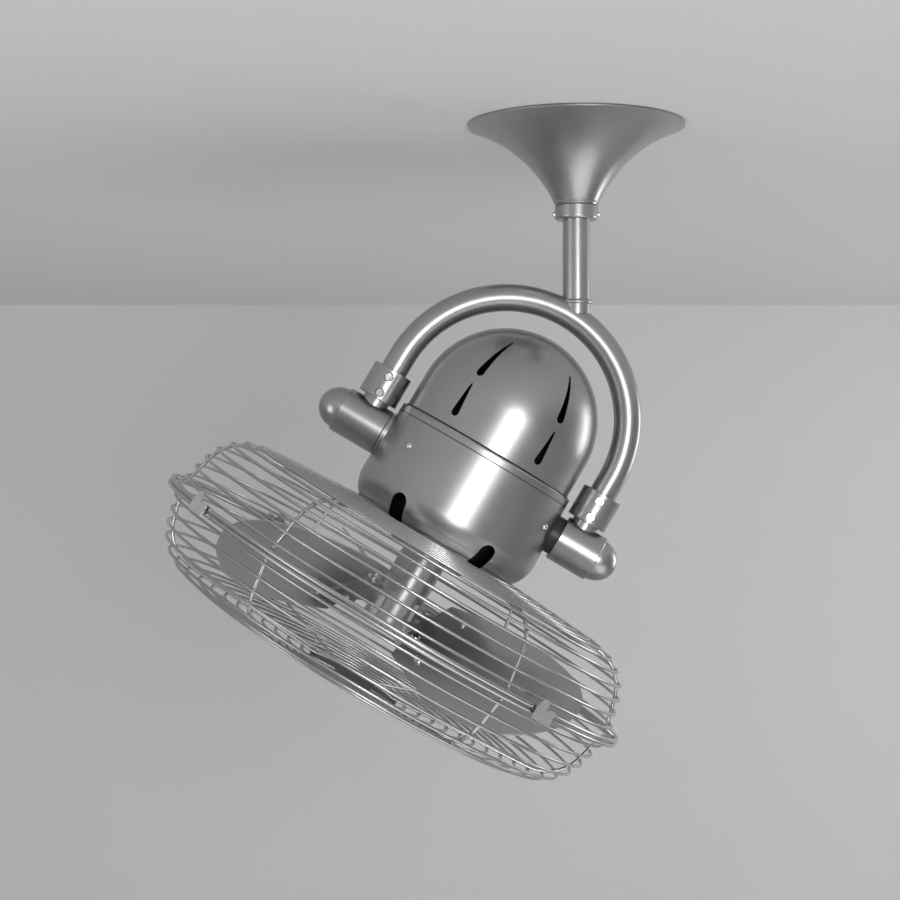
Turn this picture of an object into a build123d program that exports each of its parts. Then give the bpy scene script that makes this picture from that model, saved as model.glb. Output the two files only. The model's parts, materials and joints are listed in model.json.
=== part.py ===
from build123d import *
import math
import os

# Directional ceiling fan in a wire cage, hung from a ceiling bracket by a ball, rod and yoke.
# Origin: centre of the bracket's ceiling face. +Z is up, the yoke lies in the XZ plane.
# The head's own frame has its origin at the pivot centre, X along the pivots, -Z to the front.

# Canopy and what hangs in it
canopy_radius = 87.0
canopy_height = 64.4
canopy_wall = 1.2
canopy_belly_radius = 52.0
canopy_belly_drop = 20.0
neck_radius = 16.8
neck_clearance = 1.2
collar_radius = 17.2
collar_height = 11.6
collar_gap = 0.3
set_screw_radius = 2.0
bracket_radius = 51.0
bracket_thickness = 2.5
bracket_hole_spacing = 88.9
bracket_hole_radius = 2.6
wire_hole_radius = 12.0
strap_width = 22.0
strap_offset = 24.5
ball_radius = 18.0
ball_centre_z = -25.0
ball_top = 9.0
ball_foot = 12.0
seat_height = 7.0
running_gap = 0.05
beyond = 200.0
pin_radius = 3.0

# Housing
housing_top = 29.3
housing_top_radius = 76.8
housing_max_radius = 79.2
housing_side_end = -30.0
housing_corner_radius = 31.0
housing_wall = 1.5
pivot_side = housing_max_radius - (housing_max_radius - housing_top_radius) * (
    housing_side_end / (housing_side_end - housing_top))
band_line_height = 23.3
band_line_depth = 0.5
dome_gap = 1.5
dome_radius = housing_top_radius - housing_wall - dome_gap
dome_wall = 1.3
dome_centre = 58.9
dome_foot = 22.0
slot_columns = 6
slot_column_start = 30.0
slot_width = 6.6
slot_tip_width = 1.6
lower_slot = (39.0, 67.8)
upper_slot = (75.2, 112.0)
vent_width = 13.5
vent_drop = 2.0
vent_top = housing_side_end - vent_drop
vent_reach = 29.2
vent_inner_radius = housing_max_radius - vent_reach
vent_shoulder = 14.0
vent_tip_width = 2.0
screw_azimuths = (-44.0, 62.0, 136.0, 242.0)
screw_height = 1.4
screw_head_radius = 3.1
screw_head_drop = 1.5
screw_seat_gap = 0.2
screw_shank_radius = 1.9
fit_gap = 0.1

# Rod and yoke
rod_radius = 11.0
tube_wall = 1.8
rod_top_z = -9.0
yoke_tilt = 30.64
rod_side_step = 6.84
crown_drop = 151.9
yoke_offset = 19.0
yoke_radius = pivot_side + yoke_offset
yoke_arc_height = 60.5
crown_reach = yoke_arc_height + yoke_radius
pivot_x = -rod_side_step - crown_reach * math.sin(math.radians(yoke_tilt))
pivot_z = -crown_drop - crown_reach * math.cos(math.radians(yoke_tilt))
clamp_radius = 16.5
clamp_bottom = 21.5
clamp_top = 47.4
clamp_screw_heights = (26.6, 40.8)
clamp_screw_radius = 3.2
clamp_bore_gap = 0.05
tube_end_gap = 0.5

# Trunnions and pivots
trunnion_radius = 18.8
trunnion_reach = 21.4
trunnion_outer = yoke_radius + trunnion_reach
left_boss_length = 1.3
right_spacer_length = 5.3
boss_gap = 0.3
left_trunnion_inner = pivot_side + left_boss_length + boss_gap
right_trunnion_inner = pivot_side + right_spacer_length + boss_gap
trunnion_bore = 14.0
trunnion_web = 6.0
cap_radius = 16.8
cap_length = 17.6
cap_spigot = 6.0
spacer_radius = 15.6
pivot_bolt_radius = 5.0
pivot_bolt_head_radius = 8.5
pivot_bolt_head_height = 5.5
washer_radius = 11.5
washer_thickness = 1.6
nut_across_flats = 15.0
nut_height = 7.0

# Motor
frame_bottom = -12.0
frame_top = 22.0
frame_wall = 2.4
bridge_width = 44.0
bridge_thickness = 3.0
shell_radius = 52.0
shell_wall = 2.0
shell_split = -6.0
shell_bottom = -44.0
stator_height = 26.0
rotor_radius = 27.0
rotor_gap = 0.5
winding_height = 8.0
shaft_radius = 6.0
bearing_radius = 16.0
bearing_width = 9.0
capacitor_size = (24.0, 30.0, 28.0)
capacitor_x = -50.0
strap_sheet = 1.2

# Cage
cage_drop = 54.4
cage_height = housing_side_end - housing_corner_radius - cage_drop
hoop_radius = 204.0
hoop_wire = 1.8
hoop_half_gap = 1.9
ring_wire = 1.15
spoke_wire = 1.5
spoke_count = 6
wall_foot = (196.9, 4.0)
cage_shoulder = (183.1, 54.9)
ring_hug = 6.2
face_inner = (housing_max_radius - ring_hug, 62.6)
shoulder_radius = 38.0
wall_rings = 6
wall_ring_start = 4.2
front_ring_pitch = 12.5
wall_ring_pitch = 11.0
face_rings = 8
front_extra_rings = 2
front_cap_radius = 40.0
ring_sides = 24
front_cap_thickness = 1.6
plate_radius = 57.0
plate_hole = 27.0
plate_thickness = 1.6
grille_screw_radius = 42.0

# Hub and blades
hub_radius = 18.8
hub_rise = 65.4
hub_drop = 12.6
hub_top = cage_height + hub_rise
hub_bottom = cage_height - hub_drop
hub_wall = 4.0
hub_recess = 6.0
housing_hub_hole = 24.0
blade_count = 3
blade_azimuth = 20.0
blade_tip_radius = 172.0
blade_root_radius = 30.0
blade_half_width = 58.0
blade_pitch = 35.0
blade_thickness = 1.2
blade_camber_radius = 190.0
blade_rise = 4.0
blade_tip_round = 46.0
bracket_plate = 2.0
bracket_lobe = 8.0
bracket_foot = 3.0
bracket_foot_height = 24.0
blade_screw_radius = 3.6
blade_screw_shank = 1.9
blade_screw_spots = ((50.6, 26.0), (34.0, -20.0), (50.0, -38.0))

# Clips
clip_azimuths = (51.5, 141.5, 231.5, 321.5)
clip_width = 19.6
clip_sheet = 0.8
clip_gap = 0.12
clip_knuckle = 8.0
clip_web_gap = 0.55
clip_lip_reach = 4.4
tab_width = 8.0
tab_shift = 4.5
tab_length = 7.0
tab_notch = 2.6

head_place = Pos(pivot_x, 0, pivot_z) * Rot(0, yoke_tilt, 0)


def tube(radius, wall, low, high):
    # A round tube along Z between two heights.
    height = high - low
    shape = Cylinder(radius, height) - Cylinder(radius - wall, height + 2)
    return Pos(0, 0, (low + high) / 2) * shape


def rod(radius, low, high):
    # A round bar along Z between two heights.
    return Pos(0, 0, (low + high) / 2) * Cylinder(radius, high - low)


def turned(points):
    # A solid of revolution about Z from radius and height pairs.
    outline = Polyline(*[(r, 0, z) for r, z in points], close=True)
    return revolve(make_face(outline), Axis.Z)


def along_x(shape, start):
    # Lays a shape made along +Z on the X axis, its foot at the given place.
    return Pos(start, 0, 0) * Rot(0, 90, 0) * shape


def around(shape, azimuth):
    # Turns a shape about Z. Azimuth 0 faces -Y, the side the photograph shows.
    return Rot(0, 0, azimuth) * shape


# Canopy group

def make_canopy():
    foot = (neck_radius, -canopy_height)
    belly = (canopy_belly_radius, -canopy_belly_drop)
    rim = (canopy_radius, -canopy_wall)
    curve = ThreePointArc((foot[0], 0, foot[1]), (belly[0], 0, belly[1]), (rim[0], 0, rim[1]))
    inner_curve = ThreePointArc(
        (foot[0] - canopy_wall, 0, foot[1]),
        (belly[0] - 0.6 * canopy_wall, 0, belly[1] + 0.8 * canopy_wall),
        (rim[0] - 1.6 * canopy_wall, 0, 0),
    )
    rim_edge = Polyline((rim[0], 0, rim[1]), (rim[0], 0, 0), (rim[0] - 1.6 * canopy_wall, 0, 0))
    foot_edge = Line((foot[0], 0, foot[1]), (foot[0] - canopy_wall, 0, foot[1]))
    shell = revolve(make_face([curve, rim_edge, inner_curve, foot_edge]), Axis.Z)
    foot_ring = rod(neck_radius, -canopy_height, -canopy_height + canopy_wall)
    foot_ring -= rod(rod_radius + neck_clearance, -canopy_height - 1, -canopy_height + canopy_wall + 1)
    return shell + foot_ring


def make_canopy_collar():
    top = -canopy_height - collar_gap
    ring = rod(collar_radius, top - collar_height, top)
    ring = fillet(ring.edges().group_by(Axis.Z)[0], 2.4)
    ring = chamfer(ring.edges().group_by(Axis.Z)[-1], 0.6)
    ring -= rod(rod_radius + running_gap, top - collar_height - 1, top + 1)
    for side in (-1, 1):
        hole = Rot(0, 90 * side, 0) * rod(set_screw_radius, rod_radius, collar_radius + 4)
        ring -= Pos(0, 0, top - collar_height / 2 - 1) * hole
    return ring


def make_collar_screws():
    height = -canopy_height - collar_gap - collar_height / 2 - 1
    screws = []
    for side in (-1, 1):
        body = rod(set_screw_radius - 0.05, rod_radius + 0.1, collar_radius + 1.6)
        body = chamfer(body.edges().group_by(Axis.Z)[-1], 0.5)
        body -= Pos(0, 0, collar_radius + 1.6) * extrude(RegularPolygon(1.0, 6), 1.4, both=True)
        screws.append(Pos(0, 0, height) * Rot(0, 90 * side, 0) * body)
    return Compound(children=screws)


def make_ceiling_bracket():
    plate = rod(bracket_radius, -bracket_thickness, 0)
    plate -= rod(wire_hole_radius, -bracket_thickness - 1, 1)
    for side in (-1, 1):
        hole = rod(bracket_hole_radius, -bracket_thickness - 1, 1)
        plate -= Pos(0, side * bracket_hole_spacing / 2, 0) * hole
    seat_low = ball_centre_z - ball_foot - 1.0
    seat_high = seat_low + seat_height
    outer = strap_offset + bracket_thickness
    seat = rod(outer, seat_low, seat_high)
    seat -= Pos(0, 0, ball_centre_z) * Sphere(ball_radius + running_gap)
    seat -= rod(rod_radius + 1.5, seat_low - 1, seat_high + 1)
    gate_width = 2 * (rod_radius + 1.5)
    seat -= Pos(0, outer / 2, seat_low + seat_height / 2) * Box(gate_width, outer, seat_height + 1)
    bracket = plate + seat
    for side in (-1, 1):
        strap_height = -seat_low
        strap = Box(bracket_thickness, strap_width, strap_height)
        bracket += Pos(side * (strap_offset + bracket_thickness / 2), 0, seat_low + strap_height / 2) * strap
    return bracket


def make_hanger_ball():
    ball = Sphere(ball_radius)
    ball &= rod(ball_radius + 1, -ball_foot, ball_top)
    ball -= rod(rod_radius + running_gap, -ball_radius, ball_radius)
    groove = Box(2 * pin_radius + 0.4, 2 * ball_radius, 2 * pin_radius + 4)
    ball -= Pos(0, 0, ball_top - pin_radius + 2) * groove
    return Pos(0, 0, ball_centre_z) * ball


def pin_height():
    return ball_centre_z + ball_top - pin_radius


def make_hanger_pin():
    length = 2 * math.sqrt(ball_radius ** 2 - ball_top ** 2) - 1
    return Pos(0, 0, pin_height()) * Rot(90, 0, 0) * Cylinder(pin_radius, length)


# Rod and yoke group

def make_yoke_arc(radius):
    ring = Pos(0, 0, yoke_arc_height) * Rot(90, 0, 0) * Torus(yoke_radius, radius)
    reach = yoke_radius + radius + 10
    upper = Pos(0, 0, yoke_arc_height + reach / 2) * Box(2 * reach, 4 * radius, reach)
    return ring & upper


def leg_end():
    return (clamp_bottom + clamp_top) / 2


def make_yoke():
    # The bore is modelled in the straight legs, where the trunnion necks and screws need it.
    yoke = make_yoke_arc(rod_radius)
    for side in (-1, 1):
        leg = rod(rod_radius, leg_end() + tube_end_gap / 2, yoke_arc_height)
        yoke += Pos(side * yoke_radius, 0, 0) * leg
    for side in (-1, 1):
        bore = rod(rod_radius - tube_wall, leg_end() - 1, yoke_arc_height)
        yoke -= Pos(side * yoke_radius, 0, 0) * bore
    yoke -= clamp_screw_cutters()
    return head_place * yoke


def make_downrod():
    crown = head_place * Pos(0, 0, yoke_arc_height + yoke_radius)
    foot_z = crown.position.Z
    bar = rod(rod_radius, foot_z, rod_top_z)
    bore = rod(rod_radius - tube_wall, foot_z - 1, rod_top_z + 1)
    shape = bar - bore
    shape -= head_place * make_yoke_arc(rod_radius)
    shape -= Pos(0, 0, pin_height()) * Rot(90, 0, 0) * Cylinder(pin_radius + running_gap, 4 * rod_radius)
    return shape.solids().sort_by(Axis.Z)[-1]


def clamp_screw_cutters():
    cutters = []
    for side in (-1, 1):
        for height in clamp_screw_heights:
            shank = rod(2.0, rod_radius - tube_wall - 1, clamp_radius)
            head = rod(clamp_screw_radius, clamp_radius - 2.4, clamp_radius + 2)
            cutter = Rot(90, 0, 0) * (shank + head)
            cutters.append(Pos(side * yoke_radius, 0, height) * cutter)
    return cutters


def make_clamp_collar(side):
    body = rod(clamp_radius, clamp_bottom, clamp_top)
    body = chamfer(body.edges(), 0.5)
    body -= rod(rod_radius + clamp_bore_gap, clamp_bottom - 1, clamp_top + 1)
    body = Pos(side * yoke_radius, 0, 0) * body
    body -= clamp_screw_cutters()
    return head_place * body


def make_clamp_screws():
    screws = []
    for side in (-1, 1):
        for index, height in enumerate(clamp_screw_heights):
            shank = rod(1.95, rod_radius - tube_wall, clamp_radius - 2.35)
            head = rod(clamp_screw_radius - 0.05, clamp_radius - 2.35, clamp_radius - 0.2)
            screw = shank + head
            slot = Pos(0, 0, clamp_radius) * Box(2 * clamp_screw_radius + 1, 1.0, 2.2)
            screw -= Rot(0, 0, 35 + 50 * index) * slot
            screws.append(head_place * Pos(side * yoke_radius, 0, height) * Rot(90, 0, 0) * screw)
    return Compound(children=screws)


def make_trunnion(side):
    inner = left_trunnion_inner if side < 0 else right_trunnion_inner
    length = trunnion_outer - inner
    barrel = Cylinder(trunnion_radius, length)
    barrel = chamfer(barrel.edges(), 0.5)
    barrel = Pos(0, 0, length / 2) * barrel
    barrel = along_x(barrel, inner)
    stub = Pos(yoke_radius, 0, 0) * rod(rod_radius, trunnion_radius - 6, leg_end() - tube_end_gap / 2)
    body = barrel + stub
    body -= along_x(rod(trunnion_bore, trunnion_web, length + 1), inner)
    body -= along_x(rod(pivot_bolt_radius + running_gap, -1, trunnion_web + 1), inner)
    if side < 0:
        body = mirror(body, Plane.YZ)
    body -= clamp_screw_cutters()
    return head_place * body


def make_bullet_cap(side):
    dome = Ellipse(cap_length, cap_radius)
    quarter = dome & Pos(cap_length / 2 + 0.0, cap_radius / 2 + 0.0) * Rectangle(cap_length, cap_radius)
    nose = revolve(quarter, Axis.X)
    spigot = Pos(-cap_spigot / 2, 0, 0) * Rot(0, 90, 0) * Cylinder(trunnion_bore - running_gap, cap_spigot)
    hollow = Pos(-cap_spigot / 2, 0, 0) * Rot(0, 90, 0) * Cylinder(trunnion_bore - 2.5, cap_spigot)
    cap = Pos(trunnion_outer, 0, 0) * (nose + spigot - hollow)
    if side < 0:
        cap = mirror(cap, Plane.YZ)
    return head_place * cap


# Pivot group

def housing_bulk():
    # The housing's outer form as a solid, for pieces that are coped against it.
    return make_lower_form(0)


def make_pivot_boss():
    length = left_boss_length + trunnion_radius / 2
    middle = left_trunnion_inner - boss_gap - length / 2
    boss = Pos(-middle, 0, 0) * Rot(0, 90, 0) * Cylinder(trunnion_radius - 0.1, length)
    boss -= housing_bulk()
    boss -= Rot(0, 90, 0) * Cylinder(pivot_bolt_radius + running_gap, 2 * beyond)
    return head_place * boss.solids().sort_by(Axis.X)[0]


def make_pivot_spacer():
    length = right_spacer_length + spacer_radius / 2
    middle = right_trunnion_inner - boss_gap - length / 2
    spacer = Pos(middle, 0, 0) * Rot(0, 90, 0) * Cylinder(spacer_radius, length)
    spacer -= housing_bulk()
    spacer -= Rot(0, 90, 0) * Cylinder(pivot_bolt_radius + running_gap, 2 * beyond)
    return head_place * spacer.solids().sort_by(Axis.X)[-1]


def frame_inner():
    return frame_radius() - frame_wall


def frame_radius():
    return housing_top_radius - housing_wall - fit_gap


def make_pivot_bolts():
    bolts = []
    for side, inner in ((-1, left_trunnion_inner), (1, right_trunnion_inner)):
        tip = inner + trunnion_web + 2 * washer_thickness + nut_height + 2
        seat = frame_inner() - 1.0
        shank = rod(pivot_bolt_radius, seat, tip)
        shank = chamfer(shank.edges().group_by(Axis.Z)[-1], 0.8)
        head = extrude(RegularPolygon(pivot_bolt_head_radius, 6), pivot_bolt_head_height)
        bolt = shank + Pos(0, 0, seat - pivot_bolt_head_height) * head
        bolts.append(head_place * Rot(0, 90 * side, 0) * bolt)
    return Compound(children=bolts)


def make_pivot_washers():
    washers = []
    for side, inner in ((-1, left_trunnion_inner), (1, right_trunnion_inner)):
        low = inner + trunnion_web + 0.1
        disc = rod(washer_radius, low, low + washer_thickness)
        disc -= rod(pivot_bolt_radius + running_gap, low - 1, low + washer_thickness + 1)
        washers.append(head_place * Rot(0, 90 * side, 0) * disc)
    return Compound(children=washers)


def make_spring_washers():
    springs = []
    for side, inner in ((-1, left_trunnion_inner), (1, right_trunnion_inner)):
        low = inner + trunnion_web + washer_thickness + 0.1
        bore = pivot_bolt_radius + running_gap
        cone = turned([(bore, low + 0.6), (washer_radius - 1, low), (washer_radius - 1, low + 0.8),
                       (bore, low + washer_thickness)])
        springs.append(head_place * Rot(0, 90 * side, 0) * cone)
    return Compound(children=springs)


def make_pivot_nuts():
    nuts = []
    for side, inner in ((-1, left_trunnion_inner), (1, right_trunnion_inner)):
        low = inner + trunnion_web + 2 * washer_thickness + 0.1
        nut = extrude(RegularPolygon(nut_across_flats / math.sqrt(3), 6), nut_height)
        nut = Pos(0, 0, low) * nut
        nut -= rod(pivot_bolt_radius + running_gap, low - 1, low + nut_height + 1)
        nuts.append(head_place * Rot(0, 90 * side, 0) * nut)
    return Compound(children=nuts)


# Housing group

def make_lower_form(inset):
    # The lower housing's outer form, or its inside when inset by the wall.
    top_radius = housing_top_radius - inset
    side_radius = housing_max_radius - inset
    corner = housing_corner_radius - inset
    bottom = housing_side_end - corner
    centre = side_radius - corner
    middle = math.radians(45)
    side = Polyline((0, 0, housing_top), (top_radius, 0, housing_top), (side_radius, 0, housing_side_end))
    round_edge = ThreePointArc(
        (side_radius, 0, housing_side_end),
        (centre + corner * math.cos(middle), 0, housing_side_end - corner * math.sin(middle)),
        (centre, 0, bottom),
    )
    floor = Polyline((centre, 0, bottom), (0, 0, bottom), (0, 0, housing_top))
    return revolve(make_face([side, round_edge, floor]), Axis.Z)


def housing_bottom():
    return housing_side_end - housing_corner_radius


def vent_cutter():
    # A teardrop seen from below, round end outwards, plus the round top seen from the side.
    half = vent_width / 2
    outer = housing_max_radius + 6
    centre_height = vent_top - half
    plan = Polyline(
        (half, -outer), (half, -housing_max_radius + vent_shoulder), (vent_tip_width / 2, -vent_inner_radius),
        (-vent_tip_width / 2, -vent_inner_radius), (-half, -housing_max_radius + vent_shoulder),
        (-half, -outer),
        close=True,
    )
    depth = centre_height - housing_bottom() + 2
    prism = Pos(0, 0, centre_height - depth) * extrude(make_face(plan), depth)
    side_length = outer - vent_inner_radius - 6
    side_round = Pos(0, -(outer - side_length / 2), centre_height) * Rot(90, 0, 0)
    return prism + side_round * Cylinder(half, side_length)


def slot_cutter(low, high):
    # A slot seen from the side: round and wide at the foot, drawn to a narrow tip at the top.
    foot = slot_width / 2
    tip = slot_tip_width / 2
    low_centre = low + foot
    high_centre = high - tip
    outline = make_face(Polyline((-foot, low_centre), (foot, low_centre), (tip, high_centre),
                                 (-tip, high_centre), close=True))
    outline += Pos(0, low_centre) * Circle(foot)
    outline += Pos(0, high_centre) * Circle(tip)
    return Rot(90, 0, 0) * extrude(outline, dome_radius + 4)


def dome_form(radius, foot):
    # A cylinder closed by half a sphere.
    cap = Pos(0, 0, dome_centre) * Sphere(radius)
    return rod(radius, foot, dome_centre) + (cap & rod(radius, dome_centre, dome_centre + radius))


def make_upper_dome():
    dome = dome_form(dome_radius, dome_foot) - dome_form(dome_radius - dome_wall, dome_foot - 1)
    for index in range(slot_columns):
        azimuth = slot_column_start + index * 360 / slot_columns
        for low, high in (lower_slot, upper_slot):
            dome -= around(slot_cutter(low, high), azimuth)
    return head_place * dome


def screw_cutter(azimuth, radius):
    shape = Rot(90, 0, 0) * rod(radius, frame_inner() - 2 * frame_wall, housing_max_radius + frame_wall)
    return Pos(0, 0, screw_height) * around(shape, azimuth)


def make_lower_housing():
    housing = make_lower_form(0)
    housing = fillet(housing.edges().group_by(Axis.Z)[-1], 1.1)
    housing -= make_lower_form(housing_wall) & rod(beyond, housing_bottom() + housing_wall, housing_top)
    line_ring = rod(beyond, band_line_height - 0.35, band_line_height + 0.35)
    line_ring -= rod(housing_radius_at(band_line_height) - band_line_depth, 0, beyond)
    housing -= line_ring
    housing -= rod(housing_hub_hole, housing_bottom() - 1, housing_bottom() + 10)
    for index in range(slot_columns):
        azimuth = slot_column_start + index * 360 / slot_columns
        housing -= around(vent_cutter(), azimuth)
    for azimuth in screw_azimuths:
        housing -= screw_cutter(azimuth, screw_shank_radius + 0.1)
    housing -= Rot(0, 90, 0) * Cylinder(pivot_bolt_radius + running_gap, 2 * beyond)
    housing -= grille_screw_cutters(screw_shank_radius + 0.1)
    return head_place * housing.solids().sort_by(SortBy.VOLUME)[-1]


def housing_radius_at(height):
    share = (housing_top - height) / (housing_top - housing_side_end)
    return housing_top_radius + (housing_max_radius - housing_top_radius) * share


def make_housing_screws():
    face = housing_radius_at(screw_height)
    screws = []
    for azimuth in screw_azimuths:
        shank = rod(screw_shank_radius, frame_inner() - 1, face + screw_seat_gap + 0.2)
        head = Pos(0, 0, -screw_head_drop) * Sphere(math.hypot(screw_head_radius, screw_head_drop))
        head &= rod(screw_head_radius + 1, 0, 2 * screw_head_radius)
        head = Pos(0, 0, face + screw_seat_gap) * head
        screw = Rot(90, 0, 0) * (shank + head)
        screws.append(head_place * Pos(0, 0, screw_height) * around(screw, azimuth))
    return Compound(children=screws)


# Motor group

def make_motor_frame():
    band = tube(frame_radius(), frame_wall, frame_bottom, frame_top)
    bridge = Box(2 * frame_radius(), bridge_width, bridge_thickness)
    bridge = Pos(0, 0, frame_top - bridge_thickness / 2) * bridge
    bridge &= rod(frame_radius() - frame_wall / 2, frame_bottom, frame_top)
    bridge -= rod(bearing_radius + 2, 0, 60)
    frame = band + bridge
    for azimuth in screw_azimuths:
        frame -= screw_cutter(azimuth, screw_shank_radius + running_gap)
    frame -= Rot(0, 90, 0) * Cylinder(pivot_bolt_radius + running_gap, 2 * beyond)
    frame -= motor_screw_cutters(screw_shank_radius + 0.1)
    return head_place * frame


def motor_screw_cutters(radius):
    cutters = []
    for side in (-1, 1):
        for across in (-1, 1):
            hole = rod(radius, shell_split, frame_top + 10)
            cutters.append(Pos(side * 34, across * 11, 0) * hole)
    return cutters


def shell_top():
    return frame_top - bridge_thickness


def make_motor_shell_upper():
    cup = rod(shell_radius, shell_split, shell_top())
    cup = fillet(cup.edges().group_by(Axis.Z)[-1], 4)
    cup -= rod(shell_radius - shell_wall, shell_split - 1, shell_top() - 3)
    cup += rod(bearing_radius + 3, shell_top() - bearing_width - 3, shell_top() - 2)
    cup -= rod(bearing_radius, shell_top() - bearing_width - 4, shell_top() - 2)
    cup -= rod(bearing_radius - 4, shell_top() - 4, shell_top() + 1)
    cup -= motor_screw_cutters(screw_shank_radius + 0.1)
    return head_place * cup


def make_motor_shell_lower():
    cup = rod(shell_radius, shell_bottom, shell_split)
    cup = fillet(cup.edges().group_by(Axis.Z)[0], 4)
    cup -= rod(shell_radius - shell_wall, shell_bottom + 3, shell_split + 1)
    cup += rod(bearing_radius + 3, shell_bottom + 2, shell_bottom + bearing_width + 3)
    cup -= rod(bearing_radius, shell_bottom + 2, shell_bottom + bearing_width + 4)
    cup -= rod(bearing_radius - 4, shell_bottom - 1, shell_bottom + 4)
    return head_place * cup


def stator_middle():
    return (shell_top() + shell_bottom) / 2


def make_stator_core():
    half = stator_height / 2
    outer = shell_radius - shell_wall - running_gap
    core = tube(outer, outer - rotor_radius - rotor_gap, stator_middle() - half, stator_middle() + half)
    return head_place * core


def make_stator_windings():
    rings = []
    inner = rotor_radius + rotor_gap + 2
    for side in (-1, 1):
        edge = stator_middle() + side * stator_height / 2
        coil = Cylinder(42.0, winding_height) - Cylinder(inner, winding_height + 1)
        coil = fillet(coil.edges(), 2.0)
        rings.append(head_place * Pos(0, 0, edge + side * (winding_height / 2 + 0.05)) * coil)
    return Compound(children=rings)


def make_motor_rotor():
    half = stator_height / 2
    body = rod(rotor_radius, stator_middle() - half, stator_middle() + half)
    return head_place * (body - rod(shaft_radius + 0.02, shell_bottom, frame_top))


def make_bearings():
    rings = []
    for low in (shell_top() - 2 - bearing_width, shell_bottom + 2):
        ring = rod(bearing_radius - 0.02, low + 0.05, low + bearing_width - 0.05)
        ring -= rod(shaft_radius + 0.03, low - 1, low + bearing_width + 1)
        rings.append(head_place * ring)
    return Compound(children=rings)


def make_motor_shaft():
    bar = rod(shaft_radius, hub_bottom + 1, frame_top + 2)
    bar = chamfer(bar.edges(), 0.8)
    return head_place * bar


def make_motor_screws():
    screws = []
    for side in (-1, 1):
        for across in (-1, 1):
            shank = rod(screw_shank_radius, shell_top() - 2.9, frame_top + 0.1)
            head = rod(screw_head_radius, frame_top + 0.05, frame_top + 2.2)
            screws.append(head_place * Pos(side * 34, across * 11, 0) * (shank + head))
    return Compound(children=screws)


def make_capacitor():
    length, width, height = capacitor_size
    block = chamfer(Box(length, width, height).edges(), 1.5)
    return head_place * Pos(capacitor_x, 0, frame_top + height / 2) * block


def make_capacitor_strap():
    length, width, height = capacitor_size
    reach = height + strap_sheet
    loop = Pos(0, 0, reach / 2) * Box(length / 2, width + 2 * strap_sheet, reach)
    feet = Pos(0, 0, strap_sheet / 2) * Box(length / 2, bridge_width, strap_sheet)
    strap = loop + feet - Pos(0, 0, height / 2 - 1) * Box(length, width + 0.1, height + 2.05)
    return head_place * Pos(capacitor_x, 0, frame_top) * strap


# Hub and blades

def make_hub():
    hub = rod(hub_radius, hub_bottom, hub_top)
    hub = chamfer(hub.edges(), 0.8)
    hub -= rod(hub_radius - hub_wall, hub_bottom - 1, hub_bottom + hub_recess)
    hub -= rod(shaft_radius + 0.02, hub_bottom, hub_top + 1)
    hub -= hub_screw_cutters(set_screw_radius)
    return head_place * hub


def blade_turn(index):
    # Azimuth here runs from +X towards the viewer's side, -Y.
    return blade_azimuth + index * 360 / blade_count


def blade_place(index):
    return Pos(0, 0, cage_height) * Rot(0, 0, -blade_turn(index)) * Rot(blade_pitch, 0, 0)


def blade_sheet(outer_radius, thickness):
    # A cambered sheet whose bow runs along the blade.
    sheet = Cylinder(outer_radius, 2 * blade_tip_radius + 60)
    sheet -= Cylinder(outer_radius - thickness, 2 * blade_tip_radius + 62)
    return Pos(0, 0, blade_rise - blade_camber_radius) * Rot(0, 90, 0) * sheet


def blade_hole_places():
    places = []
    for reach, across in blade_screw_spots:
        lean = math.degrees(math.asin(across / blade_camber_radius))
        place = Pos(reach, 0, blade_rise - blade_camber_radius) * Rot(-lean, 0, 0)
        places.append(place * Pos(0, 0, blade_camber_radius))
    return places


def blade_holes(radius):
    return [place * rod(radius, -10, 10) for place in blade_hole_places()]


def make_blade(index):
    root = blade_root_radius
    half = blade_half_width
    bend = blade_tip_radius - blade_tip_round
    wide = root + (bend - root) * 0.35
    left = Spline((root, -half * 0.5), (wide, -half * 0.93), (bend, -half), tangents=((0.9, -1), (1, 0.05)))
    tip = Spline((bend, -half), (blade_tip_radius, 0), (bend, half), tangents=((1, 0.05), (-1, 0.05)))
    right = Spline((bend, half), (wide, half * 0.93), (root, half * 0.5), tangents=((-1, 0.05), (-0.9, -1)))
    foot = Line((root, half * 0.5), (root, -half * 0.5))
    outline = make_face([left, tip, right, foot])
    blade = blade_sheet(blade_camber_radius, blade_thickness) & Pos(0, 0, -40) * extrude(outline, 80)
    blade -= blade_holes(blade_screw_shank + 0.1)
    return head_place * blade_place(index) * blade


def make_blade_bracket(index):
    # A three-lobed plate on the blade's hollow side, with a foot on the hub.
    outer = blade_camber_radius - blade_thickness
    lobes = [Pos(reach, across) * Circle(bracket_lobe) for reach, across in blade_screw_spots]
    first, second, third = blade_screw_spots
    root = hub_radius - 2
    web = Polyline(first, (root, bracket_lobe), (root, -bracket_lobe), second, third, close=True)
    outline = make_face(web) + lobes
    plate = blade_sheet(outer, bracket_plate) & Pos(0, 0, -40) * extrude(outline, 80)
    plate -= blade_holes(blade_screw_shank + 0.1)
    bracket = blade_place(index) * plate
    foot = tube(hub_radius + bracket_foot, bracket_foot, cage_height - bracket_foot_height / 2,
                cage_height + bracket_foot_height / 2)
    block = Pos(hub_radius, 0, cage_height) * Box(3 * bracket_foot, 2 * bracket_lobe, bracket_foot_height)
    bracket += Rot(0, 0, -blade_turn(index)) * (foot & block)
    bracket -= rod(hub_radius + 0.02, hub_bottom - 1, hub_top + 1)
    bracket -= hub_screw_cutters(set_screw_radius + 0.05)
    return head_place * bracket.solids().sort_by(SortBy.VOLUME)[-1]


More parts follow.
